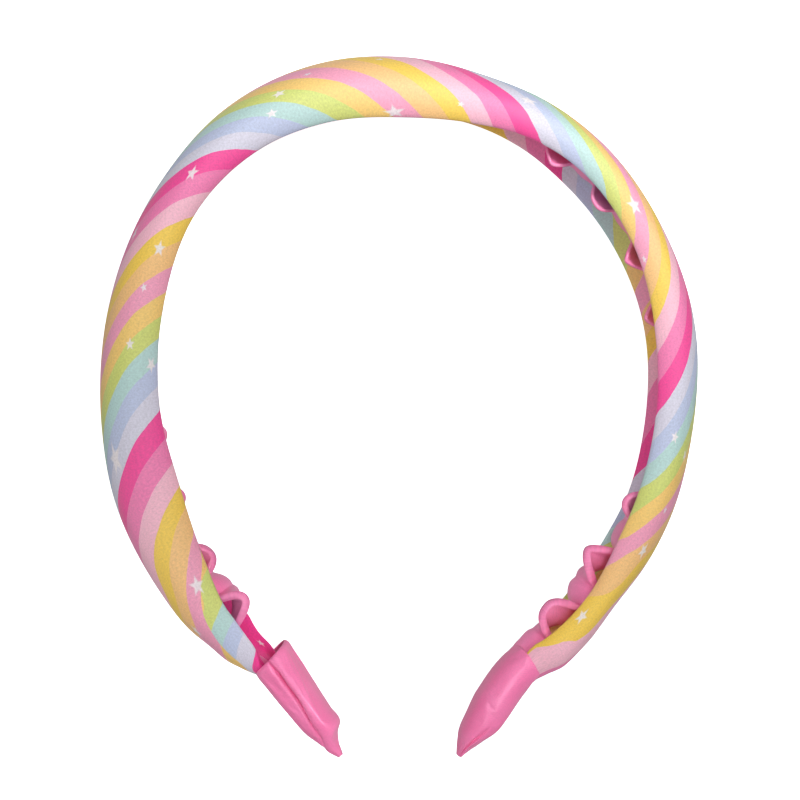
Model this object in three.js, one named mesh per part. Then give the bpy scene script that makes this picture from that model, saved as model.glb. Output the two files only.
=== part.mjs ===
// Padded satin headband, lying on its side on a flat surface.
// A foam-padded roll of printed satin follows a horseshoe arch. Its edges are turned in along the inner side as
// two soft lips, a pink satin ribbon lies in the hollow between them and buckles into loops, and a pink satin
// sleeve closes each end. Millimetres, +Z up, +Y towards the crown of the arch, origin under the middle of the part.
import * as THREE from "three";

// Driving dimensions
const CROWN_RADIUS = 66.2; // from the arch's centre to the middle of the roll
const ROLL_HEIGHT = 13; // of the middle of the roll above the surface that it lies on
const ARCH_CENTRE = new THREE.Vector2(0.108, 11.61); // puts the origin in the middle of the footprint
const ROLL_STEP = 4.5; // length of one facet along the roll
const ROLL_FACETS = 28; // round the roll
const FIT_GAP = 0.4; // between pieces that are sewn or glued together
const COVER_END = 187.8; // arc length from the crown to where the roll stops
const NECK_END = 199; // the narrow end of the roll, inside its sleeve
const SLEEVE_MOUTH = COVER_END + FIT_GAP;
const SLEEVE_LENGTH = 28.4;
const SLEEVE_STEP = 2.5; // length of one facet along a sleeve
const SLEEVE_FACETS = 20; // round a sleeve
const RIBBON_LEFT_END = -179; // the ribbon stops short of the left sleeve
const RIBBON_THICKNESS = 1;
const RIBBON_STEP = 1.4; // length of one facet along the ribbon
const RIBBON_SHARE = 0.43; // of the roll's width

// The arch as arcs, from the crown down to each end. A negative turn bends the end outwards.
const ARCS = {
  right: [
    { radius: CROWN_RADIUS, turn_deg: 92 },
    { radius: 97, turn_deg: 40 },
    { radius: 80, turn_deg: -8 },
  ],
  left: [
    { radius: CROWN_RADIUS, turn_deg: 88 },
    { radius: 106, turn_deg: 34 },
    { radius: 56, turn_deg: 20 },
    { radius: 50, turn_deg: -12 },
  ],
};

// The roll's sections, from the left end over the crown to the right end. Inset moves a section towards the wearer's
// head, and a positive twist turns the inner side up.
const ROLL_COLUMNS = ["at", "width", "thickness", "inset", "twist_deg"];
const ROLL_SECTIONS = [
  [-187.8, 14, 7.6, 2.2, 14],
  [-181, 19, 9.2, 1, 12],
  [-170, 24, 11, 0.2, 6],
  [-156, 27, 12.8, 0.3, 0],
  [-137, 28, 14.6, 0, -3],
  [-117, 28, 13, 0, -3],
  [-88, 28, 11.8, 0.4, -2],
  [-62, 28, 10.8, -0.7, -2.5],
  [-40, 28, 11.8, -1.7, -4],
  [-20, 28, 13.3, -1.4, -5],
  [0, 28, 13.6, -0.3, -6],
  [18, 28, 11.6, 0, -5],
  [34, 28, 10.4, -0.3, 2],
  [50, 28, 10.2, -0.1, 7],
  [72, 28, 10, 0.1, 5],
  [97, 28, 10.7, -0.4, -1],
  [122, 28, 10.3, -1.2, -1],
  [138, 28, 10.2, -1.6, -1],
  [152, 26.5, 9.8, -1.6, 2],
  [165, 24, 8.4, -1.6, 7],
  [177, 20, 8.4, -1.4, 9],
  [187.8, 14, 7, 1.4, 9],
];

// One half of the roll's outline from the hollow to the dome, in half widths and half thicknesses
const OUTLINE_COLUMNS = ["across", "out"];
const ROLL_OUTLINE = namedRows(OUTLINE_COLUMNS, [
  [0, -0.38],
  [0.44, -0.42],
  [0.7, -0.97],
  [0.95, -0.62],
  [0.99, 0],
  [0.78, 0.6],
  [0.42, 0.92],
  [0, 1],
]);

// The narrow end of the roll, and the pocket of the sleeve that it goes into
const NECK = { width: 9, thickness: 4.6, inset: 3 };
const POCKET = { width: 11.6, thickness: 7.2, inset: 3 };

const LOOP_ROUNDNESS = 2.5; // higher makes a loop blunter

// Loops of the ribbon: where each starts, is highest and ends, and how high its two edges rise there
const LOOP_COLUMNS = ["from", "peak", "to", "front_rise", "back_rise"];
const LOOPS = namedRows(LOOP_COLUMNS, [
  [-179, -172.8, -168, 6, 5.4],
  [-171, -165, -160, 1.6, 4],
  [-163, -156, -152, 4.8, 4],
  [-143, -139, -135, 3.2, 1.6],
  [-127, -122, -117, 2.6, 1.2],
  [-108, -102, -96, 1, 1.2],
  [-86, -80, -74, 1.2, 1],
  [-64, -58, -52, 1, 1.2],
  [-42, -36, -30, 1.2, 1],
  [-20, -14, -8, 1, 1.2],
  [4, 10, 16, 1.2, 1],
  [24, 29, 34, 1.6, 1],
  [39, 44, 47.5, 3.4, 0.8],
  [54, 59.5, 63, 3.6, 0.8],
  [72, 76, 81, 3.8, 0.8],
  [89, 92.5, 96, 2.6, 0.8],
  [106, 112, 118, 1, 1],
  [136.5, 141, 145.5, 4, 2.8],
  [144, 149, 154, 2.6, 2.4],
  [153, 157, 164, 6.4, 4.8],
  [169.5, 174, 181, 6.2, 4.8],
]);

// A sleeve's sections, from its mouth to its point
const SLEEVE_COLUMNS = ["along", "width", "thickness", "left_inset", "right_inset"];
const SLEEVE_SECTIONS = [
  [0, 14.4, 10, 3.6, 3.2],
  [6, 14.4, 10.2, 3.4, 3.9],
  [13, 13.4, 9.4, 3, 4],
  [19, 11.6, 8.2, 2.6, 3.7],
  [23, 9, 6.6, 2.3, 3.9],
  [26.4, 5.4, 4, 1.4, 4.1],
  [28.4, 2, 1.5, 0.6, 4.2],
];

// The sleeve's outline all the way round, in half widths and half thicknesses, with the fold on its upper side
const SLEEVE_OUTLINE = namedRows(OUTLINE_COLUMNS, [
  [0, -1],
  [0.62, -0.86],
  [0.98, -0.34],
  [0.84, 0.06],
  [0.96, 0.4],
  [0.6, 0.88],
  [0, 1],
  [-0.66, 0.82],
  [-1, 0],
  [-0.66, -0.82],
]);

// Turns the rows of a table into objects with the columns' names.
function namedRows(columns, rows) {
  return rows.map((row) => Object.fromEntries(columns.map((name, i) => [name, row[i]])));
}

// Walks the arcs of one side. Gives the point on the middle line and its outward normal.
function walkArch(at) {
  const side = Math.sign(at) || 1;
  const arcs = side > 0 ? ARCS.right : ARCS.left;
  let left = Math.abs(at);
  let heading = 0;
  const point = new THREE.Vector2(0, CROWN_RADIUS);
  for (const [index, { radius, turn_deg }] of arcs.entries()) {
    const bend = Math.sign(turn_deg) / radius;
    const step = Math.min(left, radius * Math.abs(THREE.MathUtils.degToRad(turn_deg)));
    point.x += (Math.sin(heading + bend * step) - Math.sin(heading)) / bend;
    point.y += (Math.cos(heading + bend * step) - Math.cos(heading)) / bend;
    heading += bend * step;
    left -= step;
    const straight = index === arcs.length - 1 ? left : 0;
    point.x += straight * Math.cos(heading);
    point.y -= straight * Math.sin(heading);
  }
  const outward = new THREE.Vector2(side * Math.sin(heading), Math.cos(heading));
  point.x *= side;
  return { point, outward };
}

// Reads a table with a smooth curve through its rows. The first column says where each row lies.
function tableReader(columns, rows) {
  const places = rows.map((row) => row[0]);
  const values = rows.flatMap((row) => row.slice(1));
  const curve = new THREE.CubicInterpolant(places, values, columns.length - 1);
  return (at) => {
    const held = THREE.MathUtils.clamp(at, places[0], places[places.length - 1]);
    const found = curve.evaluate(held);
    return Object.fromEntries(columns.slice(1).map((name, i) => [name, found[i]]));
  };
}

const rollAt = tableReader(ROLL_COLUMNS, ROLL_SECTIONS);
const sleeveAt = tableReader(SLEEVE_COLUMNS, SLEEVE_SECTIONS);

// A point of a section: across runs from the lower lip to the upper one, out from the wearer's head.
function placeOnRoll(at, across, out) {
  const { point, outward } = walkArch(at);
  const twist = THREE.MathUtils.degToRad(rollAt(at).twist_deg);
  const radial = out * Math.cos(twist) + across * Math.sin(twist);
  const rise = across * Math.cos(twist) - out * Math.sin(twist);
  return new THREE.Vector3(
    point.x + outward.x * radial,
    point.y + outward.y * radial,
    Math.max(ROLL_HEIGHT + rise, 0), // the padding flattens where it rests
  );
}

// A straight bar with the given outline, one step for each station, whose vertices are then moved into place.
// Stations run from the left end to the right end, and the bar from the last of them to the first.
function bentBar(outline, stations, place) {
  const shape = new THREE.Shape(outline);
  const steps = stations.length - 1;
  const bar = new THREE.ExtrudeGeometry(shape, { depth: steps, steps, bevelEnabled: false });
  const vertices = bar.attributes.position;
  for (let i = 0; i < vertices.count; i++) {
    const station = stations[steps - Math.round(vertices.getZ(i))];
    const moved = place(station, vertices.getX(i), vertices.getY(i));
    vertices.setXYZ(i, moved.x, moved.y, moved.z);
  }
  bar.deleteAttribute("uv");
  bar.computeVertexNormals();
  return bar;
}

// Stations from one place to another, about one step apart.
function stationsBetween(from, to, step) {
  const count = Math.ceil((to - from) / step);
  return Array.from({ length: count + 1 }, (_, i) => from + ((to - from) * i) / count);
}

// A closed outline drawn smoothly through the rows of a table.
function smoothOutline(rows, points) {
  const corners = rows.map(({ across, out }) => new THREE.Vector3(across, out, 0));
  const curve = new THREE.CatmullRomCurve3(corners, true);
  return curve.getPoints(points).slice(0, points).map((p) => new THREE.Vector2(p.x, p.y));
}

function satin(color) {
  return new THREE.MeshStandardMaterial({ color, roughness: 0.45, metalness: 0, side: THREE.FrontSide });
}

function namedPiece(name, geometry, material) {
  const mesh = new THREE.Mesh(geometry, material);
  mesh.name = name;
  return mesh;
}

// The padded roll, with a narrow neck at each end
function coverGeometry() {
  const mirrored = ROLL_OUTLINE.slice(1, -1).reverse().map(({ across, out }) => ({ across: -across, out }));
  const outline = smoothOutline([...ROLL_OUTLINE, ...mirrored], ROLL_FACETS);
  const neck = stationsBetween(COVER_END + FIT_GAP / 2, NECK_END, ROLL_STEP);
  const stations = [
    ...neck.map((at) => -at).reverse(),
    ...stationsBetween(-COVER_END, COVER_END, ROLL_STEP),
    ...neck,
  ];
  return bentBar(outline, stations, (at, across, out) => {
    const size = Math.abs(at) > COVER_END ? NECK : rollAt(at);
    return placeOnRoll(at, (across * size.width) / 2, (out * size.thickness) / 2 - size.inset);
  });
}

// How far the ribbon stands off the bottom of the hollow. Edge is -1 at its lower edge and 1 at its upper one.
function ribbonRise(at, edge) {
  let rise = 0;
  for (const loop of LOOPS) {
    const away = at < loop.peak ? (loop.peak - at) / (loop.peak - loop.from) : (at - loop.peak) / (loop.to - loop.peak);
    const height = THREE.MathUtils.lerp(loop.back_rise, loop.front_rise, (edge + 1) / 2);
    if (away < 1) rise += height * (1 - away ** LOOP_ROUNDNESS) ** 2;
  }
  return rise;
}

// The satin ribbon in the hollow of the roll
function liningGeometry() {
  const half = RIBBON_THICKNESS / 2;
  const outline = [
    new THREE.Vector2(-1, -half),
    new THREE.Vector2(1, -half),
    new THREE.Vector2(1, half),
    new THREE.Vector2(-1, half),
  ];
  const floor = ROLL_OUTLINE[1].out;
  const middle = (at, edge) => {
    const size = rollAt(at);
    const out = (floor * size.thickness) / 2 - size.inset - FIT_GAP - half - ribbonRise(at, edge);
    return { across: (edge * RIBBON_SHARE * size.width) / 2, out };
  };
  const rightEnd = COVER_END - FIT_GAP;
  const nudge = RIBBON_STEP / 4;
  return bentBar(outline, stationsBetween(RIBBON_LEFT_END, rightEnd, RIBBON_STEP), (at, edge, offset) => {
    const { across, out } = middle(at, edge);
    const slope = (middle(at + nudge, edge).out - middle(at - nudge, edge).out) / (2 * nudge);
    const tilt = Math.atan(slope);
    return placeOnRoll(at - offset * Math.sin(tilt), across, out + offset * Math.cos(tilt));
  });
}

// A satin sleeve, hollow where the neck of the roll goes in. It is drawn from its point back to the mouth, and
// then inwards along the lining of the mouth.
function sleeveGeometry(side) {
  const outline = smoothOutline(SLEEVE_OUTLINE, SLEEVE_FACETS);
  const outside = stationsBetween(0, SLEEVE_LENGTH, SLEEVE_STEP).map((along) => {
    const size = sleeveAt(along);
    return { along, size: { ...size, inset: side > 0 ? size.right_inset : size.left_inset } };
  });
  const pocketDepth = NECK_END - SLEEVE_MOUTH + FIT_GAP;
  const inside = stationsBetween(0, pocketDepth, SLEEVE_STEP).map((along) => ({ along, size: POCKET }));
  const rings = [...outside.reverse(), ...inside];
  if (side > 0) rings.reverse();
  return bentBar(outline, rings, ({ along, size }, across, out) =>
    placeOnRoll(
      side * (SLEEVE_MOUTH + along),
      (across * size.width) / 2,
      (out * size.thickness) / 2 - size.inset,
    ),
  );
}

const headband = new THREE.Group();
headband.name = "headband";
headband.position.set(ARCH_CENTRE.x, ARCH_CENTRE.y, 0);
headband.add(
  namedPiece("cover", coverGeometry(), satin(0xf3c7d6)),
  namedPiece("lining", liningGeometry(), satin(0xe0609a)),
  namedPiece("tip_left", sleeveGeometry(-1), satin(0xe8669f)),
  namedPiece("tip_right", sleeveGeometry(1), satin(0xe8669f)),
);

export default headband;
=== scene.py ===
import math

import bmesh
import bpy
from mathutils import Matrix, Vector, noise


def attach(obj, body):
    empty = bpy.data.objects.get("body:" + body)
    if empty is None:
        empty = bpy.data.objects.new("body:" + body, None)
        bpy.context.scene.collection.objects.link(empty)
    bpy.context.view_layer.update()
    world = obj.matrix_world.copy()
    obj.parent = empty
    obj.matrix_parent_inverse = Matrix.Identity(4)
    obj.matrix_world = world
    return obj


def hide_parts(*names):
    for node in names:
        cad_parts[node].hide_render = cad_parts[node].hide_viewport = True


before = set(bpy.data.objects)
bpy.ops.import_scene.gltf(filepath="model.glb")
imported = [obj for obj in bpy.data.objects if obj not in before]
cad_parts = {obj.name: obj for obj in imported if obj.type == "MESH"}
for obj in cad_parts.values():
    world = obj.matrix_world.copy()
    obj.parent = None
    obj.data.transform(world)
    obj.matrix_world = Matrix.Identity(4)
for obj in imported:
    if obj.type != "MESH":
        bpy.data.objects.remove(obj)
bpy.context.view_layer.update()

# Padded cover.
# One strip of printed satin wrapped round a foam-padded plastic core. Its long edges are turned in along the
# inner side and glued, so two soft lips stand beside a hollow. The band lies on its side and flattens there.

MM = 0.001
ARCH_CENTRE = (0.108, 11.61)
CROWN_RADIUS = 66.2
ROLL_HEIGHT = 13.0
COVER_END = 187.8
NECK_DEPTH = 6.0
NECK_INSET = 3.0
NECK_SHARE = 0.6
CLOTH_FACES_ALONG = 260
CLOTH_FACES_ROUND = 48
HALF_CLOTH = 34.0
RIGHT_END_SLANT = 4.0
SLANT_START = 165.0
LEFT_NARROWING_START = -177.5
LEFT_NARROWING_LENGTH = 7.0
LEFT_NARROWING = 0.42
LEFT_PRINT_SHIFT = 29.0
LEFT_PRINT_START = -170.0
HELD_FROM = 0.56
HELD_FADE = 0.12
HELD_END = 10.0
MERGE_DISTANCE = 0.01
NEARLY_ZERO = 1e-6
START_SMALLER = 0.5

# Radius and turn of each arc, from the crown down to each end
RIGHT_ARCS = [(CROWN_RADIUS, 92.0), (97.0, 40.0), (80.0, -8.0)]
LEFT_ARCS = [(CROWN_RADIUS, 88.0), (106.0, 34.0), (56.0, 20.0), (50.0, -12.0)]

# Arc length from the crown, width, thickness, inset towards the head, and twist in degrees
ROLL_SECTIONS = [
    (-187.8, 9.6, 7.0, 2.7, 72.0),
    (-184.5, 14.4, 8.0, 2.3, 34.0),
    (-181.0, 18.0, 9.0, 1.5, 19.0),
    (-175.0, 22.0, 9.7, 1.2, 10.0),
    (-170.0, 24.0, 10.5, 0.6, 6.0),
    (-156.0, 27.0, 12.8, 0.3, 0.0),
    (-137.0, 28.0, 14.6, 0.0, -3.0),
    (-117.0, 28.0, 13.0, 0.0, -3.0),
    (-88.0, 28.0, 11.7, 0.8, -2.0),
    (-62.0, 28.0, 10.3, -0.5, -2.5),
    (-40.0, 28.0, 11.8, -1.7, -4.0),
    (-20.0, 28.0, 13.3, -1.4, -5.0),
    (0.0, 28.0, 13.6, -0.3, -6.0),
    (18.0, 28.0, 11.6, 0.0, -5.0),
    (34.0, 28.0, 10.4, -0.3, 2.0),
    (50.0, 28.0, 9.5, 0.0, 7.0),
    (72.0, 28.0, 9.1, 0.2, 5.0),
    (97.0, 28.0, 10.2, -0.7, -1.0),
    (122.0, 28.0, 9.7, -1.5, -1.0),
    (138.0, 28.0, 9.8, -2.1, -1.0),
    (152.0, 26.5, 9.4, -1.7, 2.0),
    (165.0, 24.0, 7.6, -1.1, 7.0),
    (177.0, 20.0, 8.7, -1.5, 9.0),
    (184.0, 17.0, 8.8, -0.7, 9.0),
    (187.8, 14.0, 7.4, 1.0, 9.0),
]

# Half of the section, from the middle of the dome to the middle of the hollow: share of the half cloth, half
# widths across, half thicknesses out, and how far the slanted print has moved along on the upper half and on
# the lower one
ROLL_OUTLINE = [
    (0.0, 0.0, 1.0, 0.0, 0.0),
    (0.175, 0.42, 0.92, 7.3, 8.0),
    (0.33, 0.78, 0.6, 15.9, 15.0),
    (0.46, 0.99, 0.0, 25.2, 20.5),
    (0.56, 0.96, -0.78, 31.4, 25.0),
    (0.68, 0.72, -1.12, 35.7, 29.5),
    (0.82, 0.44, -0.12, 42.0, 37.0),
    (1.0, 0.0, -0.08, 51.0, 46.0),
]

# The rainbow print: each stripe's width on the cloth and its colour, in order along the band
STRIPES = [
    (6.6, "#d9d6e6"),
    (6.6, "#bec8e4"),
    (6.8, "#b8d9d5"),
    (6.5, "#d3db74"),
    (6.8, "#f8ce72"),
    (7.3, "#f6a0be"),
    (7.5, "#f9c57e"),
    (7.1, "#f8cf4c"),
    (8.0, "#fabcce"),
    (8.0, "#f77db4"),
    (7.8, "#fa419b"),
]
PRINT_REPEAT = sum(width for width, colour in STRIPES)
PRINT_AT_SIDE = 25.2

# Arc length from the crown, how far along the print has run there on the upper side of the roll, and how
# strongly it leans from there outwards, inwards, and on the lower half
PRINT_ALONG = [
    (-200.0, -218.0, 0.3, 0.4, 0.3),
    (-186.2, -210.0, 0.3, 0.4, 0.3),
    (-177.0, -204.6, 0.3, 0.4, 0.3),
    (-173.8, -202.7, 0.35, 0.45, 0.6),
    (-165.8, -199.3, 0.85, 0.85, 0.8),
    (-160.8, -195.7, 0.95, 0.95, 0.8),
    (-153.0, -189.2, 0.75, 1.08, 0.8),
    (-146.0, -182.4, 0.72, 1.14, 0.8),
    (-124.0, -157.8, 0.8, 0.85, 0.8),
    (-48.1, -77.8, 0.92, 0.95, 1.0),
    (0.0, -34.5, 0.75, 0.95, 1.0),
    (11.0, -24.0, 0.95, 0.95, 1.0),
    (18.2, -15.6, 1.05, 0.95, 1.08),
    (29.4, 0.0, 0.95, 1.0, 1.0),
    (45.8, 20.2, 1.2, 1.3, 0.82),
    (57.3, 29.9, 1.2, 1.3, 0.95),
    (78.0, 49.0, 1.15, 1.2, 0.88),
    (107.6, 79.4, 1.0, 1.14, 1.12),
    (127.2, 98.5, 0.8, 1.1, 1.1),
    (138.0, 108.6, 0.8, 0.9, 1.1),
    (148.2, 119.1, 0.75, 1.1, 1.1),
    (153.2, 124.0, 0.8, 0.9, 1.1),
    (160.0, 127.0, 0.78, 0.6, 1.1),
    (166.0, 129.6, 0.72, 0.3, 1.1),
    (172.8, 131.6, 0.68, 0.2, 1.1),
    (179.2, 135.2, 0.58, 0.3, 1.1),
    (183.0, 136.4, 0.58, 0.4, 1.1),
    (200.0, 140.5, 0.58, 0.4, 1.1),
]

# At the left end the cloth is laid in a flat tuck that hides part of the print: arc length from the crown,
# share of the half cloth where the fold lies, and hidden cloth
TUCK = [
    (-190.0, 0.44, 26.5),
    (-182.0, 0.435, 23.2),
    (-176.2, 0.425, 18.4),
    (-172.0, 0.455, 13.8),
    (-167.5, 0.49, 8.0),
    (-161.8, 0.55, 8.6),
    (-158.0, 0.605, 5.6),
    (-152.0, 0.68, 0.0),
]

# Stars of the print: arc length from the crown, share of the half cloth from the dome, length along the band
# from tip to tip, and turn. The print is drawn out along the band, which flattens them.
STARS = [
    (-184.6, -0.755, 2.6, 20.0),
    (-170.9, 0.305, 4.0, 10.0),
    (-161.9, 0.525, 5.2, 62.0),
    (-126.9, 0.29, 8.2, 15.0),
    (-105.3, 0.585, 4.4, 40.0),
    (-100.4, 0.46, 3.2, 5.0),
    (-86.2, 0.485, 2.4, 30.0),
    (-75.9, 0.505, 4.2, 12.0),
    (-74.8, 0.19, 4.4, 50.0),
    (-56.3, 0.445, 4.4, 25.0),
    (-32.7, 0.475, 3.2, 0.0),
    (-29.1, 0.37, 3.6, 18.0),
    (-21.4, 0.275, 2.4, 40.0),
    (-5.0, 0.2, 2.4, 8.0),
    (-2.4, 0.6, 6.0, 30.0),
    (5.2, 0.05, 2.4, 22.0),
    (14.6, 0.52, 2.0, 10.0),
    (29.9, 0.38, 4.8, 35.0),
    (65.0, 0.495, 5.4, 20.0),
    (77.9, 0.605, 2.4, 15.0),
    (101.9, 0.145, 2.4, 0.0),
    (122.6, 0.48, 3.4, 28.0),
    (126.2, 0.335, 3.2, 10.0),
    (139.6, 0.395, 2.2, 44.0),
    (150.3, 0.43, 4.2, 20.0),
    (171.6, 0.565, 5.2, 30.0),
]
STAR_FLATNESS = 0.55


# Follows a smooth curve through the rows of a table. The first column says where each row lies.
def read_table(rows, place):
    place = min(max(place, rows[0][0]), rows[-1][0])
    high = 1
    while high < len(rows) - 1 and rows[high][0] < place:
        high += 1
    low = high - 1
    before = rows[max(low - 1, 0)]
    after = rows[min(high + 1, len(rows) - 1)]
    left, right = rows[low], rows[high]
    span = right[0] - left[0]
    share = (place - left[0]) / span
    found = []
    for column in range(1, len(left)):
        slope_left = (right[column] - before[column]) / (right[0] - before[0]) * span
        slope_right = (after[column] - left[column]) / (after[0] - left[0]) * span
        rise = right[column] - left[column]
        bend = slope_left + slope_right - 2 * rise
        found.append(left[column] + share * (slope_left + share * (rise - slope_left - bend * (1 - share))))
    return found


# The middle line of the roll and its outward direction, at an arc length from the crown.
def walk_arch(at):
    side = 1 if at >= 0 else -1
    arcs = RIGHT_ARCS if side > 0 else LEFT_ARCS
    to_go = abs(at)
    heading = 0.0
    x, y = 0.0, CROWN_RADIUS
    for radius, turn in arcs:
        bend = math.copysign(1.0, turn) / radius
        step = min(to_go, radius * abs(math.radians(turn)))
        x += (math.sin(heading + bend * step) - math.sin(heading)) / bend
        y += (math.cos(heading + bend * step) - math.cos(heading)) / bend
        heading += bend * step
        to_go -= step
    x += to_go * math.cos(heading)
    y -= to_go * math.sin(heading)
    middle = Vector((side * x + ARCH_CENTRE[0], y + ARCH_CENTRE[1]))
    return middle, Vector((side * math.sin(heading), math.cos(heading)))


# Puts a point of a section in its place: across runs from the lower lip to the upper one, out from the head.
def place_on_roll(at, across, out, inset, twist_deg):
    middle, outward = walk_arch(at)
    twist = math.radians(twist_deg)
    radial = out * math.cos(twist) + across * math.sin(twist) - inset
    rise = ROLL_HEIGHT + across * math.cos(twist) - out * math.sin(twist)
    spot = middle + outward * radial
    return Vector((spot.x, spot.y, max(rise, 0.0))) * MM


# How firmly a spot of the cloth is held: the glued edges in the hollow and the two ends can't move.
def held_share(at, turn):
    in_hollow = (abs(turn) - HELD_FROM) / HELD_FADE
    near_end = 1 - (COVER_END - abs(at)) / HELD_END
    return min(max(in_hollow, near_end, 0.0), 1.0)


# Wraps a spot of the flat cloth round the roll. Turn is 0 on the dome and 1 or -1 in the hollow. The right
# end is cut on a slant, and the lower lip of the left end is drawn in.
def wrap_cloth(at, turn):
    width, thickness, inset, twist = read_table(ROLL_SECTIONS, at)
    across, out = read_table(ROLL_OUTLINE, abs(turn))[:2]
    if turn < 0:
        narrowing = (LEFT_NARROWING_START - at) / LEFT_NARROWING_LENGTH
        left_over = 1 - LEFT_NARROWING * min(max(narrowing, 0.0), 1.0)
        across *= left_over
        out *= left_over if out < 0 else 1.0
    ease = max(0.0, (at - SLANT_START) / (COVER_END - SLANT_START))
    slant = RIGHT_END_SLANT * ease * ease * (1 - out) / 2
    smaller = START_SMALLER * (1 - held_share(at, turn))
    across = math.copysign(across, turn) * (width / 2 - smaller)
    out *= thickness / 2 - smaller
    return place_on_roll(at - slant, across, out, inset, twist)


# How far the print has run at a spot of the cloth.
def print_run(at, turn):
    upper, lower = read_table(ROLL_OUTLINE, abs(turn))[2:]
    run, lean_out, lean_in, lean_below = read_table(PRINT_ALONG, at)
    if turn < 0:
        left_end = min(max((LEFT_PRINT_START - at) / LEFT_NARROWING_LENGTH, 0.0), 1.0)
        return run + lean_out * PRINT_AT_SIDE + lean_below * lower + LEFT_PRINT_SHIFT * left_end
    from_side = PRINT_AT_SIDE - upper
    return run + (lean_out if from_side > 0 else lean_in) * from_side


# The far side of the cloth has the same stars, half a repeat further along.
stars_on_cloth = list(STARS)
for at, turn, size, turn_deg in STARS:
    stars_on_cloth.append((PRINT_REPEAT / 2 - at, -turn, size, turn_deg))


# Where a spot of cloth lies as seen from a star, in star radii.
def seen_from_star(at, turn, star):
    star_at, star_turn, size, turn_deg = star
    spot = Vector((at - star_at, (turn - star_turn) * HALF_CLOTH / STAR_FLATNESS)) * 2 / size
    spot.rotate(Matrix.Rotation(math.radians(turn_deg), 2))
    return spot


cloth = bmesh.new()
bmesh.ops.create_grid(cloth, x_segments=CLOTH_FACES_ALONG, y_segments=CLOTH_FACES_ROUND, size=1.0)
bmesh.ops.scale(cloth, vec=(COVER_END, 1.0, 1.0), verts=cloth.verts)
print_map = cloth.loops.layers.uv.new("print_place")
weave_map = cloth.loops.layers.uv.new("weave_place")
star_map = cloth.loops.layers.uv.new("star_place")
tuck_map = cloth.loops.layers.uv.new("tuck_place")
held_layer = cloth.verts.layers.float.new("held")
for face in cloth.faces:
    middle = face.calc_center_median()
    near = min(stars_on_cloth, key=lambda star: seen_from_star(middle.x, middle.y, star).length * star[2])
    for loop in face.loops:
        at, turn = loop.vert.co.x, loop.vert.co.y
        side = turn if abs(turn) > NEARLY_ZERO else math.copysign(NEARLY_ZERO, middle.y)
        loop[print_map].uv = (print_run(at, side) / PRINT_REPEAT, turn)
        loop[weave_map].uv = (at, turn * HALF_CLOTH)
        loop[star_map].uv = seen_from_star(at, turn, near)
        fold, hidden = read_table(TUCK, at)
        loop[tuck_map].uv = (hidden / PRINT_REPEAT, turn - fold)
for vert in cloth.verts:
    at, turn = vert.co.x, vert.co.y
    vert[held_layer] = held_share(at, turn)
    vert.co = wrap_cloth(at, turn)
bmesh.ops.remove_doubles(cloth, verts=cloth.verts, dist=MERGE_DISTANCE * MM)

# Each end is turned under into a narrow neck, which the sleeve covers.
for side in (-1, 1):
    rim = [edge for edge in cloth.edges if edge.is_boundary and side * edge.verts[0].co.x > 0]
    made = bmesh.ops.extrude_edge_only(cloth, edges=rim)["geom"]
    neck = [item for item in made if isinstance(item, bmesh.types.BMVert)]
    neck_edges = [item for item in made if isinstance(item, bmesh.types.BMEdge) and item.is_boundary]
    centre = sum((vert.co for vert in neck), Vector()) / len(neck)
    ahead, outward = walk_arch(side * (COVER_END + NECK_DEPTH))
    bmesh.ops.scale(cloth, vec=[NECK_SHARE] * 3, verts=neck, space=Matrix.Translation(-centre))
    inwards = Vector((*outward, 0.0)) * NECK_INSET * MM
    shift = Vector((ahead.x * MM - centre.x, ahead.y * MM - centre.y, 0.0)) - inwards
    bmesh.ops.translate(cloth, vec=shift, verts=neck)
    bmesh.ops.edgeloop_fill(cloth, edges=neck_edges)
    for vert in neck:
        vert[held_layer] = 1.0
bmesh.ops.recalc_face_normals(cloth, faces=cloth.faces)

# The solver works on a copy twenty times as large, where its steps are stable.
SOLVER_SCALE = 20.0
SOLVER_FRAMES = 20
COVER_PRESSURE = 0.6
COVER_SLACK = 0.012
COVER_PUSH = 0.8
COVER_EVENING = 30


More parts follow.
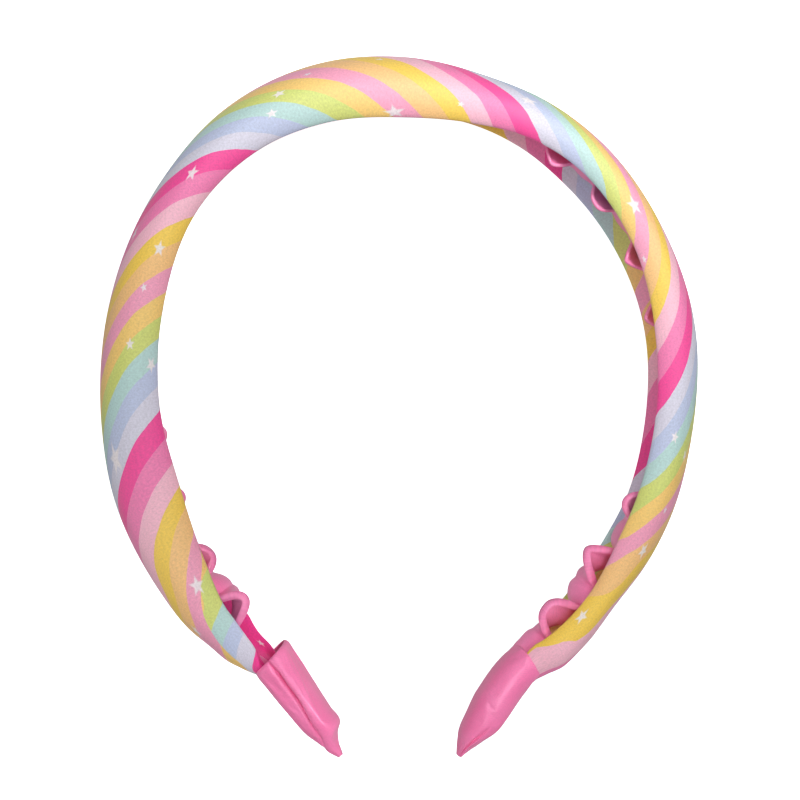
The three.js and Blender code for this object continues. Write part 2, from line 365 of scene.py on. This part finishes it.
# Lets the padding push a piece of cloth out. Slack is how much the cloth is larger than its form, and no spot
# moves further than the limit. Spots in the held layer stay where they are. Evening is how often each move is
# averaged with the moves beside it, which takes out wrinkles that come by chance.
def fill_out(shape, held, pressure, slack, limit, evening=0):
    mesh = bpy.data.meshes.new("solver_cloth")
    shape.to_mesh(mesh)
    for vert in mesh.vertices:
        vert.co *= SOLVER_SCALE
    body = bpy.data.objects.new("solver_cloth", mesh)
    bpy.context.scene.collection.objects.link(body)
    pinned = body.vertex_groups.new(name="pinned")
    for vert in shape.verts:
        pinned.add([vert.index], vert[held], "REPLACE")
    solver = body.modifiers.new("cloth", "CLOTH")
    solver.settings.quality = 5
    solver.settings.mass = 0.3
    solver.settings.tension_stiffness = 15
    solver.settings.compression_stiffness = 15
    solver.settings.shear_stiffness = 5
    solver.settings.bending_stiffness = 0.5
    solver.settings.use_pressure = True
    solver.settings.uniform_pressure_force = pressure
    solver.settings.shrink_min = -slack
    solver.settings.vertex_group_mass = "pinned"
    solver.settings.effector_weights.gravity = 0.0
    solver.collision_settings.use_collision = False
    solver.point_cache.frame_end = SOLVER_FRAMES
    for step in range(1, SOLVER_FRAMES + 1):
        bpy.context.scene.frame_set(step)
    settled = body.evaluated_get(bpy.context.evaluated_depsgraph_get()).data
    moves = [settled.vertices[vert.index].co / SOLVER_SCALE - vert.co for vert in shape.verts]
    for turn in range(evening):
        evened = []
        for vert in shape.verts:
            beside = [moves[edge.other_vert(vert).index] for edge in vert.link_edges]
            mean = sum(beside, moves[vert.index]) / (len(beside) + 1)
            evened.append(mean if vert[held] < 1 else moves[vert.index])
        moves = evened
    for vert in shape.verts:
        move = moves[vert.index]
        vert.co += move * min(1.0, limit / max(move.length, NEARLY_ZERO))
    bpy.context.scene.frame_set(1)
    bpy.data.objects.remove(body)
    bpy.data.meshes.remove(mesh)


cloth.verts.index_update()
fill_out(cloth, held_layer, COVER_PRESSURE, COVER_SLACK, COVER_PUSH * MM, COVER_EVENING)


# Makes an object at the origin from a finished mesh.
def make_piece(name, shape):
    mesh = bpy.data.meshes.new(name)
    shape.to_mesh(mesh)
    shape.free()
    piece = bpy.data.objects.new(name, mesh)
    bpy.context.scene.collection.objects.link(piece)
    for polygon in mesh.polygons:
        polygon.use_smooth = True
    return piece


# Rounds a piece off with one subdivision.
def round_off(piece):
    soften = piece.modifiers.new("soften", "SUBSURF")
    soften.levels = 1
    soften.render_levels = 1
    return soften


# Turns an sRGB hex colour to linear.
def linear(hex_colour):
    shares = [int(hex_colour[i:i + 2], 16) / 255 for i in (1, 3, 5)]
    return (*(c / 12.92 if c <= 0.04045 else ((c + 0.055) / 1.055) ** 2.4 for c in shares), 1.0)


# Adds one node: settings are its properties, values its fixed inputs and links what feeds the others. Inputs
# that share a name go by number. A Mix has its share in 0 and its two colours in 6 and 7. A Map Range has its
# value in 0, the old range in 1 and 2, and the new one in 3 and 4.
def add_node(material, kind, values=None, links=None, **settings):
    node = material.node_tree.nodes.new(kind)
    for name, setting in settings.items():
        setattr(node, name, setting)
    for socket, value in (values or {}).items():
        node.inputs[socket].default_value = value
    for socket, source in (links or {}).items():
        material.node_tree.links.new(source, node.inputs[socket])
    return node


# Makes an empty material with its shader.
def new_material(name):
    material = bpy.data.materials.new(name)
    material.use_nodes = True
    return material, material.node_tree.nodes["Principled BSDF"]


# Printed polyester satin, brushed soft: a matt print with a slight sheen and a grainy weave, glossy across the
# threads that float on it. They are about 0.1 mm apart, too fine to show, so the weave is drawn at 0.5 mm.
PRINTED_WEAVE = 0.5
printed_satin, printed_shader = new_material("printed_satin")
place = add_node(printed_satin, "ShaderNodeUVMap", uv_map="print_place")
weave_place = add_node(printed_satin, "ShaderNodeUVMap", uv_map="weave_place")
wander = add_node(
    printed_satin,
    "ShaderNodeTexNoise",
    values={"Scale": 0.35, "Detail": 1.0},
    links={"Vector": weave_place.outputs[0]},
)
wander_less = add_node(
    printed_satin, "ShaderNodeMapRange", values={3: -0.0025, 4: 0.0025}, links={0: wander.outputs["Fac"]}
)
run = add_node(printed_satin, "ShaderNodeSeparateXYZ", links={0: place.outputs[0]})
run_wandered = add_node(
    printed_satin, "ShaderNodeMath", links={0: run.outputs[0], 1: wander_less.outputs[0]}, operation="ADD"
)
tuck_place = add_node(printed_satin, "ShaderNodeUVMap", uv_map="tuck_place")
tuck = add_node(printed_satin, "ShaderNodeSeparateXYZ", links={0: tuck_place.outputs[0]})
beyond_tuck = add_node(
    printed_satin, "ShaderNodeMath", values={1: 0.0}, links={0: tuck.outputs[1]}, operation="GREATER_THAN"
)
hidden_print = add_node(
    printed_satin,
    "ShaderNodeMath",
    links={0: tuck.outputs[0], 1: beyond_tuck.outputs[0]},
    operation="MULTIPLY",
)
run_tucked = add_node(
    printed_satin,
    "ShaderNodeMath",
    links={0: run_wandered.outputs[0], 1: hidden_print.outputs[0]},
    operation="SUBTRACT",
)
share = add_node(printed_satin, "ShaderNodeMath", links={0: run_tucked.outputs[0]}, operation="FRACT")
stripes = add_node(printed_satin, "ShaderNodeValToRGB", links={0: share.outputs[0]})
stripes.color_ramp.interpolation = "CONSTANT"
begun = 0.0
for index, (width, colour) in enumerate(STRIPES):
    start = begun / PRINT_REPEAT
    element = stripes.color_ramp.elements[0] if index == 0 else stripes.color_ramp.elements.new(start)
    element.position = start
    element.color = linear(colour)
    begun += width
# A new ramp comes with a white stop at its end, which isn't a stripe
stripes.color_ramp.elements.remove(stripes.color_ramp.elements[-1])

# A five-pointed star: the spot is folded into one arm, whose edge is a straight line.
ARM_SLOPE = 2.4
star_place = add_node(printed_satin, "ShaderNodeUVMap", uv_map="star_place")
star_spot = add_node(printed_satin, "ShaderNodeSeparateXYZ", links={0: star_place.outputs[0]})
star_far = add_node(
    printed_satin, "ShaderNodeVectorMath", links={0: star_place.outputs[0]}, operation="LENGTH"
)
star_angle = add_node(
    printed_satin,
    "ShaderNodeMath",
    links={0: star_spot.outputs[1], 1: star_spot.outputs[0]},
    operation="ARCTAN2",
)
arm_angle = add_node(
    printed_satin,
    "ShaderNodeMath",
    values={1: math.pi / 5},
    links={0: star_angle.outputs[0]},
    operation="PINGPONG",
)
arm_along = add_node(printed_satin, "ShaderNodeMath", links={0: arm_angle.outputs[0]}, operation="COSINE")
arm_aside = add_node(printed_satin, "ShaderNodeMath", links={0: arm_angle.outputs[0]}, operation="SINE")
arm_reach = add_node(
    printed_satin,
    "ShaderNodeMath",
    values={1: ARM_SLOPE},
    links={0: arm_aside.outputs[0], 2: arm_along.outputs[0]},
    operation="MULTIPLY_ADD",
)
star_edge = add_node(
    printed_satin,
    "ShaderNodeMath",
    links={0: arm_reach.outputs[0], 1: star_far.outputs["Value"]},
    operation="MULTIPLY",
)
in_star = add_node(
    printed_satin,
    "ShaderNodeMapRange",
    values={1: 0.74, 2: 1.2, 3: 0.88, 4: 0.0},
    links={0: star_edge.outputs[0]},
)
starred = add_node(
    printed_satin,
    "ShaderNodeMix",
    values={7: linear("#f4ecee")},
    links={0: in_star.outputs[0], 6: stripes.outputs[0]},
    data_type="RGBA",
)
grain = add_node(
    printed_satin,
    "ShaderNodeTexNoise",
    values={"Scale": 1 / PRINTED_WEAVE, "Detail": 3.0, "Roughness": 0.7},
    links={"Vector": weave_place.outputs[0]},
)
grain_shade = add_node(
    printed_satin,
    "ShaderNodeMapRange",
    values={1: 0.3, 2: 0.7, 3: 0.82, 4: 1.09},
    links={0: grain.outputs["Fac"]},
)
grained = add_node(
    printed_satin,
    "ShaderNodeMix",
    values={0: 1.0},
    links={6: starred.outputs[2], 7: grain_shade.outputs[0]},
    data_type="RGBA",
    blend_type="MULTIPLY",
)
weave_bump = add_node(
    printed_satin,
    "ShaderNodeBump",
    values={"Strength": 0.4, "Distance": 0.15 * MM},
    links={"Height": grain.outputs["Fac"]},
)
printed_satin.node_tree.links.new(grained.outputs[2], printed_shader.inputs["Base Color"])
printed_satin.node_tree.links.new(weave_bump.outputs[0], printed_shader.inputs["Normal"])
floats = add_node(printed_satin, "ShaderNodeTangent", direction_type="UV_MAP", uv_map="weave_place")
printed_satin.node_tree.links.new(floats.outputs[0], printed_shader.inputs["Tangent"])
printed_shader.inputs["Anisotropic"].default_value = 0.8
printed_shader.inputs["Anisotropic Rotation"].default_value = 0.25
printed_shader.inputs["Roughness"].default_value = 0.5
printed_shader.inputs["IOR"].default_value = 1.5
printed_shader.inputs["Specular IOR Level"].default_value = 0.8
printed_shader.inputs["Sheen Weight"].default_value = 0.15
printed_shader.inputs["Sheen Roughness"].default_value = 0.4

cover = make_piece("padded_cover", cloth)
round_off(cover).uv_smooth = "NONE"
cover.data.materials.append(printed_satin)
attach(cover, "root")
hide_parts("cover")

# Ribbon in the hollow.
# A pink satin ribbon folded double, tacked into the hollow between the lips to hide the glued edges. It is
# longer than the hollow, so it buckles into loops, most of all near the two ends.

RIBBON_LEFT_END = -177.4
RIBBON_RIGHT_END = 190.5
RIBBON_SHARE = 0.38
RIBBON_THICKNESS = 2.8
RIBBON_FLOOR = -0.12
RIBBON_GAP = 0.3
RIBBON_HALF_WIDTH = 6.0
RIBBON_FACES_ALONG = 700
RIBBON_FACES_ACROSS = 12
PINCH_LENGTH = 1.2
PINCH_DEPTH = 0.3
UNEVENNESS = 0.15
UNEVENNESS_ROW = 7.0
FLARE = 2.4
CRUMPLE_DEPTH = 0.45
CRUMPLE_LENGTH = 4.0
CRUMPLE_ACROSS = 3.0
CRUMPLE_FULL_RISE = 2.0
CRUMPLE_SEED = 11

# Arc length from the crown, and how much of its thickness the fold keeps
RIBBON_FULLNESS = [
    (-190.0, 0.8),
    (-152.0, 0.68),
    (-130.0, 0.32),
    (100.0, 0.32),
    (140.0, 0.55),
    (152.0, 0.76),
    (200.0, 0.76),
]

# Where each loop starts, is highest and ends, how high the upper and the lower edge rise there, and how round
# it is
LOOPS = [
    (-177.0, -172.4, -167.6, 7.9, 0.0, 2.5),
    (-176.0, -168.5, -156.5, 0.0, 6.6, 1.8),
    (-162.4, -156.8, -151.8, 7.2, 0.0, 2.3),
    (-156.0, -150.0, -144.0, 0.0, 2.4, 2.4),
    (-144.4, -139.7, -135.0, 6.8, 1.6, 2.0),
    (-129.2, -123.2, -117.2, 6.35, 1.2, 2.0),
    (-108.0, -102.0, -96.0, 1.0, 1.2, 2.0),
    (-86.0, -80.0, -74.0, 1.2, 1.0, 2.0),
    (-64.0, -58.0, -52.0, 1.0, 1.2, 2.0),
    (-42.0, -36.0, -30.0, 1.2, 1.0, 2.0),
    (-20.0, -14.0, -8.0, 1.0, 1.2, 2.0),
    (4.0, 10.0, 16.0, 1.2, 1.0, 2.0),
    (24.0, 29.0, 34.0, 2.2, 1.0, 2.0),
    (37.5, 43.5, 49.0, 6.2, 0.0, 1.7),
    (44.0, 50.0, 55.0, 0.0, 0.7, 2.0),
    (54.0, 60.0, 64.5, 5.8, 0.0, 2.3),
    (59.0, 66.0, 71.0, 0.0, 0.4, 2.0),
    (70.5, 76.5, 82.5, 6.0, 0.0, 1.3),
    (87.0, 92.8, 97.5, 5.4, 0.0, 1.3),
    (136.6, 141.0, 145.2, 5.4, 0.0, 2.2),
    (141.0, 147.0, 153.0, 0.0, 2.2, 2.2),
    (152.9, 156.6, 163.8, 8.0, 0.0, 1.6),
    (157.0, 163.5, 171.5, 0.0, 3.8, 2.2),
    (169.6, 174.8, 180.6, 8.0, 0.0, 2.5),
    (174.5, 182.0, 191.0, 0.0, 4.4, 2.2),
]


# How far the ribbon stands off the bottom of the hollow. Edge is -1 at its lower edge and 1 at its upper one.
def ribbon_rise(at, edge):
    rise = 0.0
    for start, peak, end, upper, lower, roundness in LOOPS:
        away = (peak - at) / (peak - start) if at < peak else (at - peak) / (end - peak)
        if away < 1:
            height = lower + (upper - lower) * ((edge + 1) / 2) ** FLARE
            rise += height * (1 - abs(away) ** roundness)
    return rise


# How full the folded ribbon is: it is pinched where it bends, and uneven in between.
def ribbon_fullness(at):
    chance = noise.noise((at / CRUMPLE_LENGTH, 0.0, UNEVENNESS_ROW))
    fullness = read_table(RIBBON_FULLNESS, at)[0] * (1 + UNEVENNESS * chance)
    for start, peak, end, upper, lower, roundness in LOOPS:
        if upper > lower:
            for place in (start, end):
                fullness *= 1 - PINCH_DEPTH * math.exp(-(((at - place) / PINCH_LENGTH) ** 2))
    return fullness


noise.seed_set(CRUMPLE_SEED)
ribbon = bmesh.new()
bmesh.ops.create_grid(ribbon, x_segments=RIBBON_FACES_ALONG, y_segments=RIBBON_FACES_ACROSS, size=0.5)
bmesh.ops.scale(ribbon, vec=(RIBBON_RIGHT_END - RIBBON_LEFT_END, 2.0, 1.0), verts=ribbon.verts)
ribbon_middle = (RIBBON_RIGHT_END + RIBBON_LEFT_END) / 2
bmesh.ops.translate(ribbon, vec=(ribbon_middle, 0.0, 0.0), verts=ribbon.verts)
ribbon_map = ribbon.loops.layers.uv.new("weave_place")
for face in ribbon.faces:
    for loop in face.loops:
        loop[ribbon_map].uv = (loop.vert.co.x, loop.vert.co.y * RIBBON_HALF_WIDTH)
fullness_layer = ribbon.verts.layers.float.new("fullness")
for vert in ribbon.verts:
    at, edge = vert.co.x, vert.co.y
    width, thickness, inset, twist = read_table(ROLL_SECTIONS, at)
    vert[fullness_layer] = ribbon_fullness(at)
    half_fold = RIBBON_THICKNESS * vert[fullness_layer] / 2
    rise = ribbon_rise(at, edge)
    crumple = noise.noise_vector(Vector((at, edge * CRUMPLE_ACROSS, 0.0)) / CRUMPLE_LENGTH) * CRUMPLE_DEPTH
    crumple *= min(1.0, rise / CRUMPLE_FULL_RISE)
    out = RIBBON_FLOOR * thickness / 2 - RIBBON_GAP - half_fold - rise + crumple.x
    across = edge * RIBBON_SHARE * width / 2 + crumple.z
    vert.co = place_on_roll(at + crumple.y, across, out, inset, twist)
bmesh.ops.recalc_face_normals(ribbon, faces=ribbon.faces)

# Pink polyester satin: glossy along its floating threads, drawn as a 0.5 mm weave because the real one is too
# fine to show.
PINK_WEAVE = 0.5
TWILL_SPACING = 0.9


# Weaves a satin whose pink wavers between two tones.
def weave_pink(name, deep, pale):
    pink_satin, pink_shader = new_material(name)
    pink_place = add_node(pink_satin, "ShaderNodeUVMap", uv_map="weave_place")
    pink_grain = add_node(
        pink_satin,
        "ShaderNodeTexNoise",
        values={"Scale": 1 / PINK_WEAVE, "Detail": 3.0, "Roughness": 0.7},
        links={"Vector": pink_place.outputs[0]},
    )
    pink_cloud = add_node(
        pink_satin,
        "ShaderNodeTexNoise",
        values={"Scale": 0.12, "Detail": 2.0},
        links={"Vector": pink_place.outputs[0]},
    )
    pink_depth = add_node(
        pink_satin,
        "ShaderNodeMix",
        values={6: linear(deep), 7: linear(pale)},
        links={0: pink_cloud.outputs["Fac"]},
        data_type="RGBA",
    )
    pink_shade = add_node(
        pink_satin,
        "ShaderNodeMapRange",
        values={1: 0.3, 2: 0.7, 3: 0.92, 4: 1.05},
        links={0: pink_grain.outputs["Fac"]},
    )
    pink_grained = add_node(
        pink_satin,
        "ShaderNodeMix",
        values={0: 1.0},
        links={6: pink_depth.outputs[2], 7: pink_shade.outputs[0]},
        data_type="RGBA",
        blend_type="MULTIPLY",
    )
    pink_twill = add_node(
        pink_satin,
        "ShaderNodeTexWave",
        values={"Scale": 1 / TWILL_SPACING, "Distortion": 1.5, "Detail": 1.0, "Detail Scale": 0.5},
        links={"Vector": pink_place.outputs[0]},
        bands_direction="DIAGONAL",
    )
    twill_shade = add_node(
        pink_satin, "ShaderNodeMapRange", values={3: 0.965, 4: 1.03}, links={0: pink_twill.outputs["Fac"]}
    )
    pink_twilled = add_node(
        pink_satin,
        "ShaderNodeMix",
        values={0: 1.0},
        links={6: pink_grained.outputs[2], 7: twill_shade.outputs[0]},
        data_type="RGBA",
        blend_type="MULTIPLY",
    )
    pink_height = add_node(
        pink_satin,
        "ShaderNodeMath",
        links={0: pink_grain.outputs["Fac"], 1: pink_twill.outputs["Fac"]},
        operation="ADD",
    )
    pink_bump = add_node(
        pink_satin,
        "ShaderNodeBump",
        values={"Strength": 0.14, "Distance": 0.12 * MM},
        links={"Height": pink_height.outputs[0]},
    )
    pink_satin.node_tree.links.new(pink_twilled.outputs[2], pink_shader.inputs["Base Color"])
    pink_satin.node_tree.links.new(pink_bump.outputs[0], pink_shader.inputs["Normal"])
    pink_shader.inputs["Roughness"].default_value = 0.32
    pink_shader.inputs["Specular IOR Level"].default_value = 1.0
    pink_shader.inputs["IOR"].default_value = 1.5
    pink_shader.inputs["Specular Tint"].default_value = linear("#ffcfe3")
    return pink_satin


fullness_of_spots = [vert[fullness_layer] for vert in ribbon.verts]
lining = make_piece("ribbon_lining", ribbon)
full_spots = lining.vertex_groups.new(name="fullness")
for index, fullness in enumerate(fullness_of_spots):
    full_spots.add([index], min(fullness, 1.0), "REPLACE")
fold = lining.modifiers.new("folded_double", "SOLIDIFY")
fold.thickness = RIBBON_THICKNESS * MM
fold.offset = 0.0
fold.vertex_group = "fullness"
fold.edge_crease_outer = 0.5
fold.edge_crease_inner = 0.5
round_off(lining)
# The ribbon's two pinks are a touch paler than the sleeves' to lighten it where the lips shade the hollow:
# painted light on the same satin.
lining.data.materials.append(weave_pink("ribbon_satin", "#fd7cb4", "#ff9bc8"))
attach(lining, "root")
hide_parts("lining")

# Sleeves at the two ends.
# Each is a pocket of the same pink satin, sewn to a point, pulled over the end of the core and stitched down.
# The left one keeps the crease of its fold, and the right one is drawn up smooth over the core.

SLEEVE_MOUTH = 188.2
SLEEVE_FACES_ALONG = 88
SLEEVE_FACES_ROUND = 120
SLEEVE_THICKNESS = 0.6
SLEEVE_GIRTH = 38.0
SLEEVE_HELD = 2.0
SLEEVE_PRESSURE = 1.0
SLEEVE_SLACK = 0.004
SLEEVE_PUSH = 0.5
OUTER_ROUNDNESS = 0.5
INNER_ROUNDNESS = 0.8
THICK_ROUNDNESS = 0.8
TIP_FROM = 0.7
CREASE_WIDTH = 0.09
MOUTH_SLANT_LENGTH = 12.0
PUCKERS = 9
PUCKER_DEPTH = 0.06
PUCKER_LENGTH = 3.5
ROLLED_EDGE = 0.8
ROLL_DEPTH = 0.5

# Length from the mouth, width, thickness, inset towards the head, crease place out, crease depth, and how far
# the panel on the head side puffs up beside the crease
LEFT_SLEEVE = [
    (0.0, 14.4, 10.2, 4.2, -0.1, 0.6, 0.5),
    (2.5, 14.4, 10.0, 3.7, -0.15, 1.4, 0.9),
    (6.0, 14.4, 9.8, 3.3, -0.15, 1.9, 1.1),
    (12.0, 13.6, 9.2, 2.8, -0.15, 2.0, 1.1),
    (18.0, 12.0, 8.6, 2.4, 0.03, 1.7, 0.9),
    (22.0, 9.6, 7.8, 2.6, 0.3, 1.0, 0.5),
    (24.0, 7.4, 5.2, 1.7, 0.45, 0.5, 0.3),
    (26.0, 5.0, 3.3, 1.1, 0.5, 0.2, 0.1),
    (29.2, 1.2, 0.7, 1.0, 0.5, 0.0, 0.0),
]
RIGHT_SLEEVE = [
    (0.0, 14.4, 9.2, 2.8, 0.3, 0.0, 0.0),
    (6.0, 14.4, 9.5, 3.95, 0.3, 0.0, 0.0),
    (13.0, 13.6, 9.5, 3.95, 0.3, 0.0, 0.0),
    (17.5, 12.0, 8.9, 3.75, 0.25, 0.4, 0.2),
    (22.0, 9.4, 6.6, 4.2, 0.2, 0.9, 0.4),
    (25.0, 6.4, 4.2, 4.1, 0.1, 0.7, 0.3),
    (27.8, 2.8, 2.2, 3.6, 0.0, 0.0, 0.0),
]

sleeve_satin = weave_pink("sleeve_satin", "#fb72ab", "#ff8dbf")


# Sews one sleeve. Side is -1 for the left end and 1 for the right one.
def sew_sleeve(name, side, sections, twist, mouth_slant):
    tube = bmesh.new()
    bmesh.ops.create_grid(tube, x_segments=SLEEVE_FACES_ALONG, y_segments=SLEEVE_FACES_ROUND, size=0.5)
    weave = tube.loops.layers.uv.new("weave_place")
    held = tube.verts.layers.float.new("held")
    length = sections[-1][0]
    for face in tube.faces:
        for loop in face.loops:
            loop[weave].uv = ((loop.vert.co.x + 0.5) * length, loop.vert.co.y * SLEEVE_GIRTH)
    for vert in tube.verts:
        along = (vert.co.x + 0.5) * length
        angle = vert.co.y * 2 * math.pi
        width, thickness, inset, crease_out, crease_depth, puff = read_table(sections, along)
        roundness = OUTER_ROUNDNESS if math.sin(angle) > 0 else INNER_ROUNDNESS
        across = math.copysign(abs(math.cos(angle)) ** roundness, math.cos(angle))
        out = math.copysign(abs(math.sin(angle)) ** THICK_ROUNDNESS, math.sin(angle))
        facing = max(across, 0.0)
        off_crease = (out - crease_out) / CREASE_WIDTH
        dent = crease_depth * facing * math.exp(-off_crease * off_crease)
        if out < crease_out:
            off_middle = 2 * (crease_out - out) / (crease_out + 1) - 1
            dent -= puff * facing * (1 - off_middle * off_middle)
        pucker = PUCKER_DEPTH * math.sin(PUCKERS * angle + 2 * math.sin(angle))
        pucker *= math.exp(-along / PUCKER_LENGTH)
        pucker -= ROLL_DEPTH * max(0.0, 1 - along / ROLLED_EDGE) ** 2
        ahead = mouth_slant * (1 - out) / 2 * max(0.0, 1 - along / MOUTH_SLANT_LENGTH)
        vert[held] = max(0.0, 1 - along / SLEEVE_HELD, 1 - (length - along) / SLEEVE_HELD)
        vert.co = place_on_roll(
            side * (SLEEVE_MOUTH + along - ahead),
            across * (width / 2 - START_SMALLER + pucker) - dent,
            out * (thickness / 2 - START_SMALLER + pucker),
            inset,
            twist,
        )
    bmesh.ops.remove_doubles(tube, verts=tube.verts, dist=MERGE_DISTANCE * MM)
    tip_line = walk_arch(side * (SLEEVE_MOUTH + length * TIP_FROM))[0] * MM
    point = [edge for edge in tube.edges if edge.is_boundary and edge.verts[0].co.y < tip_line.y]
    bmesh.ops.edgeloop_fill(tube, edges=point)
    bmesh.ops.recalc_face_normals(tube, faces=tube.faces)
    tube.verts.index_update()
    fill_out(tube, held, SLEEVE_PRESSURE, SLEEVE_SLACK, SLEEVE_PUSH * MM)
    sleeve = make_piece(name, tube)
    wall = sleeve.modifiers.new("cloth", "SOLIDIFY")
    wall.thickness = SLEEVE_THICKNESS * MM
    wall.offset = -1.0
    round_off(sleeve)
    sleeve.data.materials.append(sleeve_satin)
    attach(sleeve, "root")
    return sleeve


left_sleeve = sew_sleeve("sleeve_left", -1, LEFT_SLEEVE, twist=14.0, mouth_slant=0.0)
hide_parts("tip_left")
right_sleeve = sew_sleeve("sleeve_right", 1, RIGHT_SLEEVE, twist=9.0, mouth_slant=2.8)
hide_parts("tip_right")

# Studio.
# A lit white table in a pale room. A large weak soft box hangs over the far side, soft spots brighten the
# crown and the two ends, and two low spots stand in for reflector cards that lighten the inner faces.

FLOOR_HALF = 1.5
FLOOR_DROP = 0.0003
ground = bmesh.new()
bmesh.ops.create_grid(ground, x_segments=1, y_segments=1, size=FLOOR_HALF)
bmesh.ops.translate(ground, vec=(0.0, 0.0, -FLOOR_DROP), verts=ground.verts)
floor = make_piece("floor", ground)
white_table, table_shader = new_material("white_table")
table_shader.inputs["Base Color"].default_value = linear("#f6f6f6")
table_shader.inputs["Roughness"].default_value = 0.7
table_shader.inputs["Emission Color"].default_value = linear("#ffffff")
table_shader.inputs["Emission Strength"].default_value = 0.9
floor.data.materials.append(white_table)
floor.visible_diffuse = False
floor.visible_glossy = False

scene = bpy.context.scene
scene.view_settings.view_transform = "Standard"
room = bpy.data.worlds.new("bright_room")
room.use_nodes = True
room.node_tree.nodes["Background"].inputs["Color"].default_value = linear("#ffffff")
room.node_tree.nodes["Background"].inputs["Strength"].default_value = 0.42
scene.world = room

# Name, kind, power in watts, place, spot that it shines at, how wide the box is in metres or the beam in
# degrees, and how large a spot's lamp is
LIGHTS = [
    ("soft_box", "AREA", 0.38, (0.0, 0.19, 0.56), (0.0, 0.0, 0.0), 0.3, 0.0),
    ("tip_spot", "SPOT", 14.0, (0.0, -0.2, 0.55), (-0.012, -0.092, 0.0), 12.0, 0.1),
    ("crown_spot", "SPOT", 25.0, (0.13, 0.19, 0.57), (0.026, 0.068, 0.0), 18.0, 0.1),
    ("far_card", "SPOT", 6.0, (-0.28, -0.1, 0.13), (0.055, 0.045, 0.005), 14.0, 0.1),
    ("right_card", "SPOT", 4.0, (0.26, -0.03, 0.24), (-0.022, -0.07, 0.013), 9.0, 0.03),
]
for name, kind, power, stand_at, shines_at, width, lamp_size in LIGHTS:
    lamp = bpy.data.lights.new(name, kind)
    lamp.energy = power
    if kind == "AREA":
        lamp.size = width
    else:
        lamp.spot_size = math.radians(width)
        lamp.spot_blend = 1.0
        lamp.shadow_soft_size = lamp_size
    stand = bpy.data.objects.new(name, lamp)
    stand.location = stand_at
    stand.rotation_euler = (Vector(shines_at) - Vector(stand_at)).to_track_quat("-Z", "Y").to_euler()
    scene.collection.objects.link(stand)

# The camera looks straight down, a little from the left, as in the photograph.
VIEW_DISTANCE = 0.9
VIEW_TILT = math.radians(4.0)
VIEW_WIDTH = 0.194
VIEW_DROP = 9.7
SENSOR = 36.0
target = Vector((ARCH_CENTRE[0], ARCH_CENTRE[1] - VIEW_DROP, ROLL_HEIGHT)) * MM
lens = bpy.data.cameras.new("camera")
lens.sensor_width = SENSOR
lens.lens = SENSOR * VIEW_DISTANCE / VIEW_WIDTH
camera = bpy.data.objects.new("camera", lens)
backwards = Vector((-math.sin(VIEW_TILT), 0.0, math.cos(VIEW_TILT)))
camera.location = target + backwards * VIEW_DISTANCE
right_hand = Vector((0.0, 1.0, 0.0)).cross(backwards)
camera.rotation_euler = Matrix((right_hand, (0.0, 1.0, 0.0), backwards)).transposed().to_euler()
scene.collection.objects.link(camera)
scene.camera = camera
